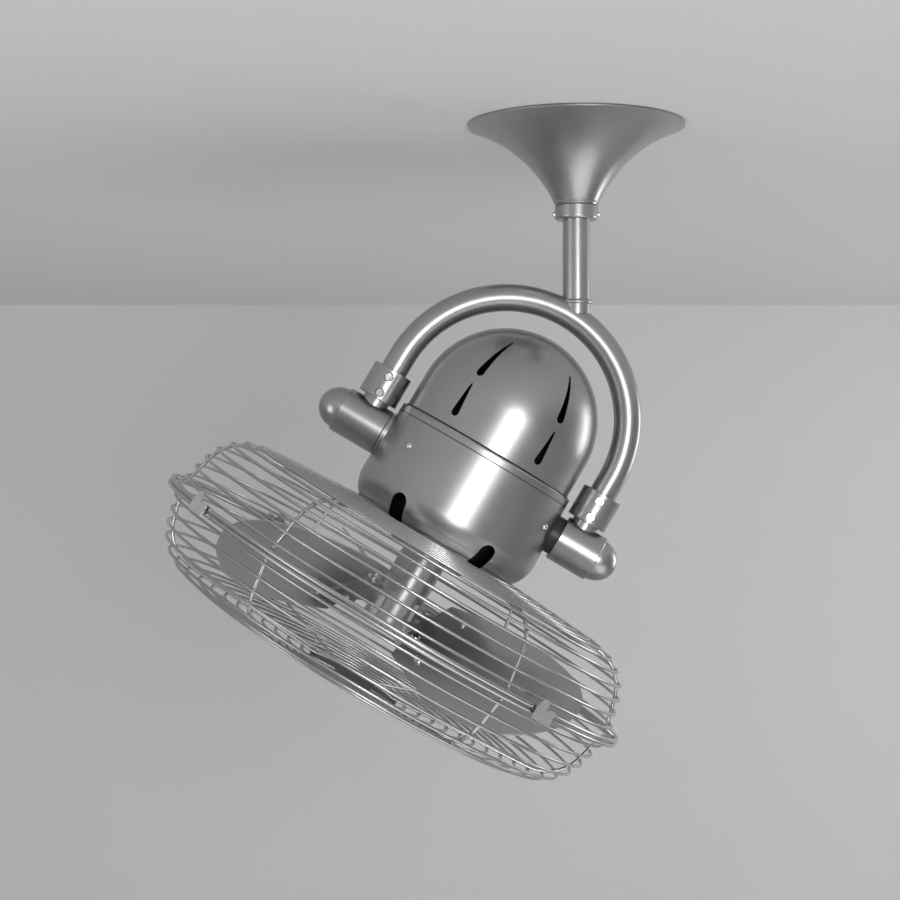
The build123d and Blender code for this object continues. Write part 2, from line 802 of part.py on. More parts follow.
def hub_screw_cutters(radius):
    cutters = []
    for index in range(blade_count):
        for side in (-1, 1):
            hole = Rot(0, 90, 0) * rod(radius, hub_radius - 8, hub_radius + bracket_foot + 4)
            height = cage_height + side * (bracket_foot_height / 2 - 4)
            cutters.append(Pos(0, 0, height) * Rot(0, 0, -blade_turn(index)) * hole)
    return cutters


def make_hub_screws():
    screws = []
    for index in range(blade_count):
        for side in (-1, 1):
            shank = rod(set_screw_radius - 0.05, hub_radius - 7.9, hub_radius + bracket_foot + 0.05)
            head = rod(screw_head_radius, hub_radius + bracket_foot + 0.02, hub_radius + bracket_foot + 2.2)
            height = cage_height + side * (bracket_foot_height / 2 - 4)
            turn = Rot(0, 0, -blade_turn(index)) * Rot(0, 90, 0)
            screws.append(head_place * Pos(0, 0, height) * turn * (shank + head))
    return Compound(children=screws)


def make_blade_screws():
    screws = []
    for index in range(blade_count):
        for place in blade_hole_places():
            shank = rod(blade_screw_shank, -blade_thickness - bracket_plate - 1.5, 0.1)
            head = rod(blade_screw_radius, 0.08, 2.0)
            head = chamfer(head.edges().group_by(Axis.Z)[-1], 0.7)
            screws.append(head_place * blade_place(index) * place * (shank + head))
    return Compound(children=screws)


# Cage

def cage_profile():
    # The rings' meridian, from the hoop side over the shoulder to the centre: radius, depth.
    return FilletPolyline(wall_foot, cage_shoulder, face_inner, radius=shoulder_radius)


def ring_spots(extra):
    # Ring centres along the meridian: radius and depth from the hoop plane.
    profile = cage_profile()
    travels = [wall_ring_start + wall_ring_pitch * index for index in range(wall_rings)]
    face_pitch = (profile.length - travels[-1]) / face_rings
    travels += [travels[-1] + face_pitch * (index + 1) for index in range(face_rings)]
    spots = [profile.position_at(min(travel / profile.length, 1)) for travel in travels]
    slope = (face_inner[1] - cage_shoulder[1]) / (cage_shoulder[0] - face_inner[0])
    for index in range(extra):
        step = front_ring_pitch * (index + 1)
        spots.append(Vector(face_inner[0] - step, face_inner[1] + slope * step))
    return spots


def wire_ring(radius, depth):
    # A many-sided ring of square wire, light enough to repeat.
    side = ring_wire * 1.8
    ring = RegularPolygon(radius + side / 2, ring_sides) - RegularPolygon(radius - side / 2, ring_sides)
    return Pos(0, 0, depth - side / 2) * extrude(ring, side)


def make_spoke(inner_points):
    # One square wire on the inside of the rings, from the hoop to the given inner points.
    profile = cage_profile()
    inset = (ring_wire + spoke_wire) * 0.9 - 0.15
    points = [(hoop_radius, hoop_half_gap)]
    for share in (0.0, 0.1, 0.2, 0.275, 0.35, 0.425, 0.5, 1.0):
        spot = profile.position_at(share)
        heading = profile.tangent_at(share)
        points.append((spot.X - heading.Y * inset, spot.Y + heading.X * inset))
    side = spoke_wire * 1.8
    bars = []
    for start, end in zip(points, points[1:] + inner_points):
        bars.append(spoke_bar(start, end, side))
    for start, end in zip(inner_points, inner_points[1:]):
        bars.append(spoke_bar(start, end, side))
    return bars[0] + bars[1:]


def spoke_bar(start, end, side):
    run = math.dist(start, end)
    angle = math.degrees(math.atan2(end[0] - start[0], end[1] - start[1]))
    middle = ((start[0] + end[0]) / 2, (start[1] + end[1]) / 2)
    return Pos(middle[0], 0, middle[1]) * Rot(0, angle, 0) * Box(side, side, run + side * 0.5)


def make_bowl(extra_rings, inner_points):
    hoop = Pos(0, 0, hoop_half_gap) * Torus(hoop_radius, hoop_wire)
    spokes = [around(make_spoke(inner_points), index * 360 / spoke_count) for index in range(spoke_count)]
    rings = [wire_ring(spot.X, spot.Y) for spot in ring_spots(extra_rings)]
    return hoop + spokes + rings


def make_rear_grille():
    # The spokes run round the housing's corner and lie under the grille plate.
    under_plate = housing_bottom() - plate_thickness - spoke_wire * 0.9 - 0.05 - cage_height
    corner = (housing_max_radius - housing_corner_radius, housing_side_end - cage_height)
    reach = housing_corner_radius + spoke_wire * 0.9 + 1.0
    lean = math.radians(50)
    points = [
        (corner[0] + reach * math.cos(lean), corner[1] - reach * math.sin(lean)),
        (plate_radius + 3, under_plate),
        (plate_hole + 8, under_plate),
    ]
    return head_place * Pos(0, 0, cage_height) * make_bowl(0, points)


def make_front_grille():
    slope = (face_inner[1] - cage_shoulder[1]) / (cage_shoulder[0] - face_inner[0])
    reach = face_inner[0] - front_cap_radius + 8
    end = (face_inner[0] - reach, face_inner[1] + slope * reach - (ring_wire + spoke_wire) * 0.9)
    bowl = make_bowl(front_extra_rings, [end])
    return head_place * Pos(0, 0, cage_height) * mirror(bowl, Plane.XY)


def make_front_cap():
    slope = (face_inner[1] - cage_shoulder[1]) / (cage_shoulder[0] - face_inner[0])
    depth = face_inner[1] + slope * (face_inner[0] - front_cap_radius + 8) - ring_wire * 0.9 + 0.4
    disc = Cylinder(front_cap_radius, front_cap_thickness)
    disc = fillet(disc.edges().group_by(Axis.Z)[0], 0.8)
    return head_place * Pos(0, 0, cage_height - depth - front_cap_thickness / 2) * disc


def make_grille_plate():
    plate = rod(plate_radius, housing_bottom() - plate_thickness, housing_bottom())
    plate -= rod(plate_hole, housing_bottom() - 5, housing_bottom() + 5)
    plate -= grille_screw_cutters(screw_shank_radius + 0.1)
    return head_place * plate


def grille_screw_cutters(radius):
    cutters = []
    for index in range(spoke_count):
        hole = Pos(grille_screw_radius, 0, 0) * rod(radius, housing_bottom() - 10, housing_bottom() + 8)
        cutters.append(around(hole, 30 + 360 * index / spoke_count))
    return cutters


def make_grille_screws():
    screws = []
    low = housing_bottom() - plate_thickness
    for index in range(spoke_count):
        shank = rod(screw_shank_radius, low - 0.1, housing_bottom() + housing_wall + 2)
        head = rod(screw_head_radius, low - 2.0, low - 0.05)
        screw = Pos(grille_screw_radius, 0, 0) * (shank + head)
        screws.append(head_place * around(screw, 30 + 360 * index / spoke_count))
    return Compound(children=screws)


def make_clip(azimuth):
    # Knuckle round the front hoop, web outside both hoops, lip over the rear one, thumb tab.
    hinge = Pos(hoop_radius, 0, -hoop_half_gap) * Rot(90, 0, 0)
    knuckle_bore = hoop_wire + clip_gap
    knuckle = Cylinder(knuckle_bore + clip_sheet, clip_knuckle) - Cylinder(knuckle_bore, clip_width)
    far = 3 * knuckle_bore
    mouth = [(0, 0)]
    for angle in (45, 130, 215):
        mouth.append((far * math.cos(math.radians(angle)), far * math.sin(math.radians(angle))))
    knuckle -= extrude(make_face(Polyline(*mouth, close=True)), clip_knuckle, both=True)
    knuckle = hinge * knuckle
    web_radius = hoop_radius + hoop_wire + clip_web_gap
    lip_radius = 2 * hoop_half_gap + hoop_wire + clip_gap + 0.1
    lip = hinge * (Cylinder(lip_radius + clip_sheet, clip_width) - Cylinder(lip_radius, clip_width + 1))
    lip_top = -hoop_half_gap + lip_radius + clip_sheet
    lip &= Pos(hoop_radius + 1, 0, lip_top) * Box(clip_lip_reach, clip_width, 5)
    web_low = -hoop_half_gap - 1.0
    web_top = -hoop_half_gap + math.sqrt(lip_radius ** 2 - (web_radius - hoop_radius) ** 2) + clip_sheet / 2
    web = Box(clip_sheet, clip_width, web_top - web_low)
    web = Pos(web_radius + clip_sheet / 2, 0, (web_low + web_top) / 2) * web
    tab = Box(clip_sheet, tab_width, tab_length)
    tab = fillet(tab.edges().filter_by(Axis.X).group_by(Axis.Z)[-1], tab_width / 2 - 0.2)
    tab = Pos(web_radius + clip_sheet / 2, -tab_shift, web_top + tab_length / 2 - 1) * tab
    clip = knuckle + web + lip + tab
    bridge = Box(clip_web_gap + clip_sheet, clip_knuckle, 1.6)
    bridge_middle = hoop_radius + hoop_wire + clip_gap + (clip_web_gap + clip_sheet) / 2
    clip += Pos(bridge_middle, 0, -hoop_half_gap) * bridge
    notch = extrude(RegularPolygon(tab_notch, 3), 6, both=True)
    clip -= Pos(web_radius, clip_width / 2 - 4, web_top + 1) * Rot(0, 90, 0) * notch
    return head_place * Pos(0, 0, cage_height) * Rot(0, 0, -azimuth) * clip


def make_parts():
    parts = {
        "ceiling_bracket": make_ceiling_bracket(),
        "canopy": make_canopy(),
        "hanger_ball": make_hanger_ball(),
        "hanger_pin": make_hanger_pin(),
        "downrod": make_downrod(),
        "canopy_collar": make_canopy_collar(),
        "collar_screws": make_collar_screws(),
        "yoke": make_yoke(),
        "clamp_collar_left": make_clamp_collar(-1),
        "clamp_collar_right": make_clamp_collar(1),
        "clamp_screws": make_clamp_screws(),
        "trunnion_left": make_trunnion(-1),
        "trunnion_right": make_trunnion(1),
        "bullet_cap_left": make_bullet_cap(-1),
        "bullet_cap_right": make_bullet_cap(1),
        "pivot_boss_left": make_pivot_boss(),
        "pivot_spacer_right": make_pivot_spacer(),
        "pivot_bolts": make_pivot_bolts(),
        "friction_washers": make_pivot_washers(),
        "spring_washers": make_spring_washers(),
        "pivot_nuts": make_pivot_nuts(),
        "lower_housing": make_lower_housing(),
        "upper_dome": make_upper_dome(),
        "housing_screws": make_housing_screws(),
        "motor_frame": make_motor_frame(),
        "motor_shell_upper": make_motor_shell_upper(),
        "motor_shell_lower": make_motor_shell_lower(),
        "stator_core": make_stator_core(),
        "stator_windings": make_stator_windings(),
        "motor_bearings": make_bearings(),
        "motor_screws": make_motor_screws(),
        "capacitor": make_capacitor(),
        "capacitor_strap": make_capacitor_strap(),
        "rear_grille": make_rear_grille(),
        "grille_plate": make_grille_plate(),
        "grille_screws": make_grille_screws(),
        "front_grille": make_front_grille(),
        "front_cap": make_front_cap(),
        "motor_shaft": make_motor_shaft(),
        "motor_rotor": make_motor_rotor(),
        "hub": make_hub(),
        "hub_screws": make_hub_screws(),
        "blade_screws": make_blade_screws(),
    }
    for index in range(blade_count):
        parts[f"blade_{index + 1}"] = make_blade(index)
        parts[f"blade_bracket_{index + 1}"] = make_blade_bracket(index)
    for index, azimuth in enumerate(clip_azimuths):
        parts[f"grille_clip_{index + 1}"] = make_clip(azimuth)
    return parts


def write_parts():
    os.makedirs("parts", exist_ok=True)
    for name, shape in make_parts().items():
        export_step(shape, f"parts/{name}.step")


write_parts()
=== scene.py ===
import json
import math
import bpy
import bmesh
from mathutils import Matrix, Vector


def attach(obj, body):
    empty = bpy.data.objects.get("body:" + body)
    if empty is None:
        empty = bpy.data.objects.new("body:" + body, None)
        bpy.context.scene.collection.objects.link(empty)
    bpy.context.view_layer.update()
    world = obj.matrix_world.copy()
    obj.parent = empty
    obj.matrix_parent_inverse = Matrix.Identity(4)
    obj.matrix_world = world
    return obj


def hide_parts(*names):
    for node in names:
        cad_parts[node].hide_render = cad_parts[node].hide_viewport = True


# Caged ceiling fan in satin metal, hung from a bell canopy and tilted in its yoke
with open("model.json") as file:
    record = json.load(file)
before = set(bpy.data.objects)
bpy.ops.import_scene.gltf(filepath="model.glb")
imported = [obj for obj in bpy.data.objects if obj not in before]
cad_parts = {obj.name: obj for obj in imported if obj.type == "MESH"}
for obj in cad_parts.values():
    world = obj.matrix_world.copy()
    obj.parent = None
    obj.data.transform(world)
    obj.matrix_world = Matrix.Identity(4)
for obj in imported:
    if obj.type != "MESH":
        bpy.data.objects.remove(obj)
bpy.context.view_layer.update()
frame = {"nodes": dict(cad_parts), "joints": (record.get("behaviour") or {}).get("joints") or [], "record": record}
print("frame loaded")

jointByName = {joint["name"]: joint for joint in frame["joints"]}
pivot = Vector(jointByName["head_tilt"]["pos_m"])
pivotAxis = Vector(jointByName["head_tilt"]["axis"])
hubPoint = Vector(jointByName["blade_spin"]["pos_m"])
headTilt = math.atan2(-pivotAxis.z, pivotAxis.x)
headPlace = Matrix.Translation(pivot) @ Matrix.Rotation(headTilt, 4, "Y")
hoopHeight = -(hubPoint - pivot).length
mm = 0.001
mergeGap = 0.0005


# Shader building

class Val:
    # A socket that takes part in sums
    def __init__(self, tree, socket):
        self.tree = tree
        self.socket = socket

    def math(self, operation, first, second):
        node = self.tree.nodes.new("ShaderNodeMath")
        node.operation = operation
        for slot, item in zip(node.inputs, (first, second)):
            if isinstance(item, Val):
                self.tree.links.new(item.socket, slot)
            else:
                slot.default_value = item
        return Val(self.tree, node.outputs[0])

    def __add__(self, other):
        return self.math("ADD", self, other)

    def __radd__(self, other):
        return self.math("ADD", other, self)

    def __sub__(self, other):
        return self.math("SUBTRACT", self, other)

    def __rsub__(self, other):
        return self.math("SUBTRACT", other, self)

    def __mul__(self, other):
        return self.math("MULTIPLY", self, other)

    def __rmul__(self, other):
        return self.math("MULTIPLY", other, self)


class Finish:
    # One material and the few calls that build it
    def __init__(self, name):
        self.material = bpy.data.materials.new(name)
        self.material.use_nodes = True
        self.tree = self.material.node_tree
        self.shader = self.tree.nodes["Principled BSDF"]

    def make(self, kind, settings=None, values=None, output=0):
        node = self.tree.nodes.new(kind)
        for name, value in (settings or {}).items():
            if name == "stops":
                self.setStops(node.color_ramp, value)
            else:
                setattr(node, name, value)
        for name, value in (values or {}).items():
            if isinstance(value, Val):
                self.tree.links.new(value.socket, node.inputs[name])
            else:
                node.inputs[name].default_value = value
        return Val(self.tree, node.outputs[output])

    def setStops(self, ramp, stops):
        while len(ramp.elements) < len(stops):
            ramp.elements.new(0.5)
        for element, (place, shade) in zip(ramp.elements, stops):
            element.position = place
            element.color = (shade, shade, shade, 1)

    def feed(self, socketName, value):
        self.tree.links.new(value.socket, self.shader.inputs[socketName])

    def fix(self, **sockets):
        for name, value in sockets.items():
            self.shader.inputs[name.replace("_", " ")].default_value = value

    def mixColour(self, factor, dark, light):
        return self.make("ShaderNodeMix", {"data_type": "RGBA"}, {0: factor, 6: dark, 7: light}, 2)


def objectSpace(finish, stretch=(1, 1, 1), turn=0.0):
    place = finish.make("ShaderNodeTexCoord", output=3)
    return finish.make("ShaderNodeMapping", None,
                       {"Vector": place, "Scale": stretch, "Rotation": (0, turn, 0)})


def noise(finish, place, scale, detail=3.0, roughness=0.5):
    return finish.make("ShaderNodeTexNoise", None,
                       {"Vector": place, "Scale": scale, "Detail": detail, "Roughness": roughness})


def bump(finish, height, strength, distance):
    return finish.make("ShaderNodeBump", None, {"Height": height, "Strength": strength, "Distance": distance})


# Finishes

metalLook = {
    "satinBody": {"dark": 0.40, "light": 0.44, "rough": 0.33, "spread": 0.04,
                  "grain": 900, "grainDepth": 0.012},
    "wirePlate": {"dark": 0.46, "light": 0.54, "rough": 0.26, "spread": 0.05,
                  "grain": 500, "grainDepth": 0.01},
    "bladeSheet": {"dark": 0.46, "light": 0.51, "rough": 0.36, "spread": 0.04,
                   "grain": 700, "grainDepth": 0.012},
    "screwPlate": {"dark": 0.68, "light": 0.80, "rough": 0.20, "spread": 0.06,
                   "grain": 900, "grainDepth": 0.01},
    "zincSheet": {"dark": 0.64, "light": 0.76, "rough": 0.30, "spread": 0.06,
                  "grain": 300, "grainDepth": 0.015},
    # Darker copy of the satin body for the front cap: painted shade against a lamp's reflection
    "capShadedSatin": {"dark": 0.16, "light": 0.18, "rough": 0.55, "spread": 0.04,
                 "grain": 900, "grainDepth": 0.012},
    "motorIron": {"dark": 0.03, "light": 0.05, "rough": 0.55, "spread": 0.08,
                  "grain": 300, "grainDepth": 0.05},
}


metalNoise = {"broad": 14, "smudge": 20, "smudgeStretch": 2.2, "grainStretch": 14, "bumpDistance": 0.0004}


def metalFinish(name, tint=(1, 1, 1)):
    look = metalLook[name]
    finish = Finish(name)
    place = objectSpace(finish)
    broad = noise(finish, place, metalNoise["broad"], 4)
    smudgePlace = objectSpace(finish, (1, 1, metalNoise["smudgeStretch"]), headTilt)
    smudge = noise(finish, smudgePlace, metalNoise["smudge"], 3, 0.5)
    grainPlace = objectSpace(finish, (1, 1, metalNoise["grainStretch"]), headTilt)
    grain = noise(finish, grainPlace, look["grain"], 2)
    shade = 0.6 * broad + 0.4 * smudge
    dark = [look["dark"] * part for part in tint] + [1]
    light = [look["light"] * part for part in tint] + [1]
    factor = finish.make("ShaderNodeMapRange", None, {"Value": shade, "From Min": 0.32, "From Max": 0.68})
    finish.feed("Base Color", finish.mixColour(factor, dark, light))
    wear = finish.make("ShaderNodeMapRange", None, {"Value": smudge, "From Min": 0.3, "From Max": 0.75,
                                                    "To Min": look["rough"] - look["spread"] / 2,
                                                    "To Max": look["rough"] + look["spread"] / 2})
    finish.feed("Roughness", wear + 0.02 * (grain - 0.5))
    finish.feed("Normal", bump(finish, grain, look["grainDepth"], metalNoise["bumpDistance"]))
    finish.fix(Metallic=1.0)
    return finish.material


def plasticFinish(name, shade, rough):
    finish = Finish(name)
    place = objectSpace(finish)
    mottle = noise(finish, place, 60, 4)
    dark = [shade * 0.8, shade * 0.8, shade * 0.8, 1]
    light = [shade * 1.4, shade * 1.4, shade * 1.4, 1]
    finish.feed("Base Color", finish.mixColour(mottle, dark, light))
    finish.feed("Roughness", rough + 0.2 * (mottle - 0.5))
    finish.feed("Normal", bump(finish, noise(finish, place, 900, 2), 0.08, 0.0003))
    return finish.material


finishes = {name: metalFinish(name) for name in metalLook}
finishes["windingCopper"] = metalFinish("screwPlate", (0.85, 0.42, 0.22))
# Black plastic for the real dark parts, and the same dark colour on the thin rings painted as shade and shadow in
# the seam, the band line and round the screws
finishes["blackPlasticAndShadeLines"] = plasticFinish("blackPlasticAndShadeLines", 0.022, 0.42)
print("finishes made")

slotFinish = {
    "satin_metal": "satinBody",
    "plated_wire": "wirePlate",
    "blade_metal": "bladeSheet",
    "screw_steel": "screwPlate",
    "zinc_sheet": "zincSheet",
    "black_plastic": "blackPlasticAndShadeLines",
    "motor_iron": "motorIron",
    "winding_copper": "windingCopper",
}
slotOf = {part["node"]: part["material_slot"] for part in frame["record"]["subparts"]}

# The flat front cap would mirror a lamp, so it has a duller finish of its own, with a darker colour painted as
# shade over the same satin metal as the body
ownFinish = {"front_cap": "capShadedSatin"}

for nodeName, node in frame["nodes"].items():
    node.data.materials.clear()
    node.data.materials.append(finishes[ownFinish.get(nodeName, slotFinish[slotOf[nodeName]])])


# Shape building, all lengths in millimetres until a piece is finished

def bodyOf(nodeName):
    for body, members in frame["record"]["behaviour"]["bodies"].items():
        if nodeName in members:
            return body


def arcPoints(centre, radius, start, stop, steps):
    points = []
    for step in range(steps + 1):
        angle = math.radians(start + (stop - start) * step / steps)
        points.append((centre[0] + radius * math.cos(angle), centre[1] + radius * math.sin(angle)))
    return points


def lathe(bm, outline, steps=128, closed=True):
    # Spins radius and height pairs about Z
    verts = [bm.verts.new((radius, 0, height)) for radius, height in outline]
    pairs = list(zip(verts, verts[1:]))
    if closed:
        pairs.append((verts[-1], verts[0]))
    edges = [bm.edges.new(pair) for pair in pairs]
    bmesh.ops.spin(bm, geom=verts + edges, axis=(0, 0, 1), cent=(0, 0, 0), dvec=(0, 0, 0),
                   angle=2 * math.pi, steps=steps, use_merge=True, use_duplicate=False)
    bmesh.ops.remove_doubles(bm, verts=bm.verts, dist=mergeGap)


def wireRing(bm, radius, height, wire, steps=120, sides=10):
    made = bmesh.ops.create_circle(bm, segments=sides, radius=wire)
    turn = Matrix.Translation((radius, 0, height)) @ Matrix.Rotation(math.pi / 2, 4, "X")
    bmesh.ops.transform(bm, matrix=turn, verts=made["verts"])
    edges = list({edge for vert in made["verts"] for edge in vert.link_edges})
    bmesh.ops.spin(bm, geom=made["verts"] + edges, axis=(0, 0, 1), cent=(0, 0, 0), dvec=(0, 0, 0),
                   angle=2 * math.pi, steps=steps, use_merge=True, use_duplicate=False)


def alongPath(points, index):
    ahead = Vector(points[min(index + 1, len(points) - 1)]) - Vector(points[max(index - 1, 0)])
    turn = ahead.normalized().to_track_quat("Z", "Y").to_matrix().to_4x4()
    return Matrix.Translation(points[index]) @ turn


def sweepWire(bm, points, wire, sides=10):
    # A round wire along points, its section carried from one place to the next
    made = bmesh.ops.create_circle(bm, cap_ends=True, segments=sides, radius=wire)
    verts = made["verts"]
    bmesh.ops.transform(bm, matrix=alongPath(points, 0), verts=verts)
    edges = list({edge for vert in verts for edge in vert.link_edges})
    for index in range(1, len(points)):
        grown = bmesh.ops.extrude_edge_only(bm, edges=edges)["geom"]
        verts = [item for item in grown if isinstance(item, bmesh.types.BMVert)]
        edges = [item for item in grown if isinstance(item, bmesh.types.BMEdge)
                 and all(vert in verts for vert in item.verts)]
        step = alongPath(points, index) @ alongPath(points, index - 1).inverted()
        bmesh.ops.transform(bm, matrix=step, verts=verts)
    bmesh.ops.contextual_create(bm, geom=edges)


def finishPiece(bm, name, body, finishName, nodes=(), smooth=40, place=None):
    bmesh.ops.recalc_face_normals(bm, faces=bm.faces)
    scale = Matrix.Scale(mm, 4)
    bmesh.ops.transform(bm, matrix=(place or Matrix.Identity(4)) @ scale, verts=bm.verts)
    mesh = bpy.data.meshes.new(name)
    bm.to_mesh(mesh)
    bm.free()
    mesh.shade_smooth()
    mesh.set_sharp_from_angle(angle=math.radians(smooth))
    mesh.materials.append(finishes[finishName])
    piece = bpy.data.objects.new(name, mesh)
    bpy.context.scene.collection.objects.link(piece)
    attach(piece, body)
    if nodes:
        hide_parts(*nodes)


# Cage of round wire

cage = {
    "hoopRadius": 204.0, "hoopWire": 1.78, "hoopGap": 1.9, "ringWire": 1.2, "spokeWire": 1.5,
    "foot": (196.9, 4.0), "shoulder": (183.1, 54.9), "inner": (73.0, 62.6), "bend": 38.0,
    "wallRings": 6, "wallStart": 4.2, "wallPitch": 11.0, "faceRings": 8, "frontPitch": 12.5,
    "spokes": 6, "weld": 1.75, "weldDrop": (0.8, 0.4), "sink": 0.25, "spokeStart": ((0.5, 0.0), (3.5, 0.3)),
    "lineSteps": 400, "lineStride": 8, "frontEnd": 34.0,
}


def meridian():
    # Wall, rounded shoulder and face of the bowl as evenly spaced radius and depth pairs
    foot, shoulder, inner = (Vector(cage[key]) for key in ("foot", "shoulder", "inner"))
    back = (foot - shoulder).normalized()
    ahead = (inner - shoulder).normalized()
    half = back.angle(ahead) / 2
    reach = cage["bend"] / math.tan(half)
    centre = shoulder + (back + ahead).normalized() * cage["bend"] / math.sin(half)
    start = shoulder + back * reach
    stop = shoulder + ahead * reach
    first = math.atan2(*(start - centre).yx)
    last = math.atan2(*(stop - centre).yx)
    wall = (start - foot).length
    arc = abs(last - first) * cage["bend"]
    total = wall + arc + (inner - stop).length
    points = []
    for index in range(cage["lineSteps"] + 1):
        travel = total * index / cage["lineSteps"]
        if travel < wall:
            spot = foot + (start - foot) * travel / wall
        elif travel < wall + arc:
            angle = first + (last - first) * (travel - wall) / arc
            spot = centre + Vector((math.cos(angle), math.sin(angle))) * cage["bend"]
        else:
            spot = stop + (inner - stop) * (travel - wall - arc) / (total - wall - arc)
        points.append(spot)
    return points, total


cageLine, cageLength = meridian()


def ringSpots(extra):
    steps = cage["lineSteps"]
    travels = [cage["wallStart"] + cage["wallPitch"] * index for index in range(cage["wallRings"])]
    facePitch = (cageLength - travels[-1]) / cage["faceRings"]
    travels += [travels[-1] + facePitch * (index + 1) for index in range(cage["faceRings"])]
    spots = [cageLine[min(round(travel / cageLength * steps), steps)] for travel in travels]
    ahead = (cageLine[-1] - cageLine[-2]).normalized()
    spots += [cageLine[-1] + ahead * cage["frontPitch"] * (index + 1) for index in range(extra)]
    return spots


def insetLine(inset):
    line = []
    for index in range(0, cage["lineSteps"] + 1, cage["lineStride"]):
        before = cageLine[max(index - 1, 0)]
        after = cageLine[min(index + 1, cage["lineSteps"])]
        ahead = (after - before).normalized()
        line.append(cageLine[index] + Vector((-ahead.y, ahead.x)) * inset)
    return line


def bowl(name, side, extra, innerEnd, node):
    bm = bmesh.new()
    inset = cage["ringWire"] + cage["spokeWire"] - cage["sink"]
    wireRing(bm, cage["hoopRadius"], cage["hoopGap"], cage["hoopWire"], 144, 12)
    spots = ringSpots(extra)
    for spot in spots:
        wireRing(bm, spot.x, spot.y, cage["ringWire"])
    radial = [(cage["hoopRadius"] - inward, cage["hoopGap"] + rise) for inward, rise in cage["spokeStart"]]
    route = [Vector(point) for point in radial] + insetLine(inset) + [Vector(point) for point in innerEnd]
    for index in range(cage["spokes"]):
        turn = Matrix.Rotation(2 * math.pi * index / cage["spokes"], 4, "Z")
        sweepWire(bm, [turn @ Vector((spot.x, 0, spot.y)) for spot in route], cage["spokeWire"])
        for spot in spots:
            blob = bmesh.ops.create_icosphere(bm, subdivisions=1, radius=cage["weld"])
            inward, down = cage["weldDrop"]
            drop = Vector((spot.x - inward, 0, spot.y - down))
            bmesh.ops.transform(bm, matrix=turn @ Matrix.Translation(drop), verts=blob["verts"])
    if side < 0:
        bmesh.ops.transform(bm, matrix=Matrix.Scale(-1, 4, (0, 0, 1)), verts=bm.verts)
    place = headPlace @ Matrix.Translation((0, 0, hoopHeight))
    finishPiece(bm, name, "head", "wirePlate", (node,), 60, place)


housing = {
    "side": 79.2, "corner": 31.0, "sideEnd": -30.0, "plate": 57.0, "plateHole": 27.0, "plateThick": 1.6,
}
cornerCentre = (housing["side"] - housing["corner"], housing["sideEnd"] - hoopHeight / mm)
underPlate = housing["sideEnd"] - housing["corner"] - housing["plateThick"]
underPlate = underPlate - cage["spokeWire"] - hoopHeight / mm
cornerRun = arcPoints(cornerCentre, housing["corner"] + 3.0, -48, -60, 3)
rearEnd = cornerRun + [(housing["plate"] + 3, underPlate + 0.6), (housing["plate"] - 1, underPlate),
                       (housing["plateHole"] + 8, underPlate)]
faceSlope = (cageLine[-1] - cageLine[-2]).normalized()
frontReach = cage["inner"][0] - cage["frontEnd"]
frontEnd = cageLine[-1] + faceSlope * frontReach
frontEnd = [(frontEnd.x, frontEnd.y - cage["ringWire"] - cage["spokeWire"] + cage["sink"])]
bowl("rearCage", 1, 0, rearEnd, "rear_grille")
bowl("frontCage", -1, 2, frontEnd, "front_grille")
print("cage made")


# Places read off the CAD nodes, in the head's own space

def headSpots(nodeName):
    toHead = headPlace.inverted()
    return [(toHead @ vert.co) / mm for vert in frame["nodes"][nodeName].data.vertices]


def skinRadius(nodeName, height, window=2.0):
    spots = [spot for spot in headSpots(nodeName) if abs(spot.z - height) < window]
    return max(math.hypot(spot.x, spot.y) for spot in spots)


# Dark motor covers behind the openings of both shells, standing for the motor's dark iron and also painted shade
# for the unlit inside seen through the openings

cover = {
    "radius": 66.0, "wall": 1.5, "corner": 22.0, "bottom": -56.0, "split": 20.0, "crown": 50.0, "hole": 22.0,
}


def lowerCover():
    bm = bmesh.new()
    side, wall, corner = cover["radius"], cover["wall"], cover["corner"]
    centre = (side - corner, cover["bottom"] + corner)
    outline = [(cover["hole"], cover["bottom"])] + arcPoints(centre, corner, -90, 0, 8)
    outline += [(side, cover["split"]), (side - wall, cover["split"])]
    outline += arcPoints(centre, corner - wall, 0, -90, 8) + [(cover["hole"], cover["bottom"] + wall)]
    lathe(bm, outline, 72)
    finishPiece(bm, "motorShadeCoverLower", "head", "motorIron",
                ("motor_shell_lower",), 40, headPlace)


def upperCover():
    bm = bmesh.new()
    side, wall = cover["radius"], cover["wall"]
    centre = (0, cover["crown"])
    outline = arcPoints(centre, side - wall, 90, 0, 14) + [(side - wall, cover["split"] + 1)]
    outline += [(side, cover["split"] + 1)] + arcPoints(centre, side, 0, 90, 14)
    lathe(bm, outline, 72, False)
    finishPiece(bm, "motorShadeCoverUpper", "head", "motorIron",
                ("motor_shell_upper",), 40, headPlace)


lowerCover()
upperCover()
print("motor covers made")


# Thin trim rings: painted shadow in the seam of the shells, a painted shade line in the band, the neck bead, the
# weld, and painted shade rims round the screws

trim = {
    "seamHeight": 30.2, "seamWire": 0.75, "edgeHeight": 28.9, "edgeWire": 0.7,
    "lineHeight": 23.3, "lineWire": 0.5, "beadHeight": -62.2, "beadRadius": 17.4, "beadWire": 0.9,
    "weldHeight": -142.0, "weldRadius": 10.6, "weldWire": 2.0,
    "screwShadeRim": 3.45, "screwShadeRimWire": 0.32, "collarRadius": 16.5, "legSide": 97.0,
    "screwHeights": (40.8, 26.6),
}


def ringPiece(name, body, radius, height, wire, finishName, place):
    bm = bmesh.new()
    wireRing(bm, radius, height, wire, 128, 8)
    finishPiece(bm, name, body, finishName, (), 60, place)


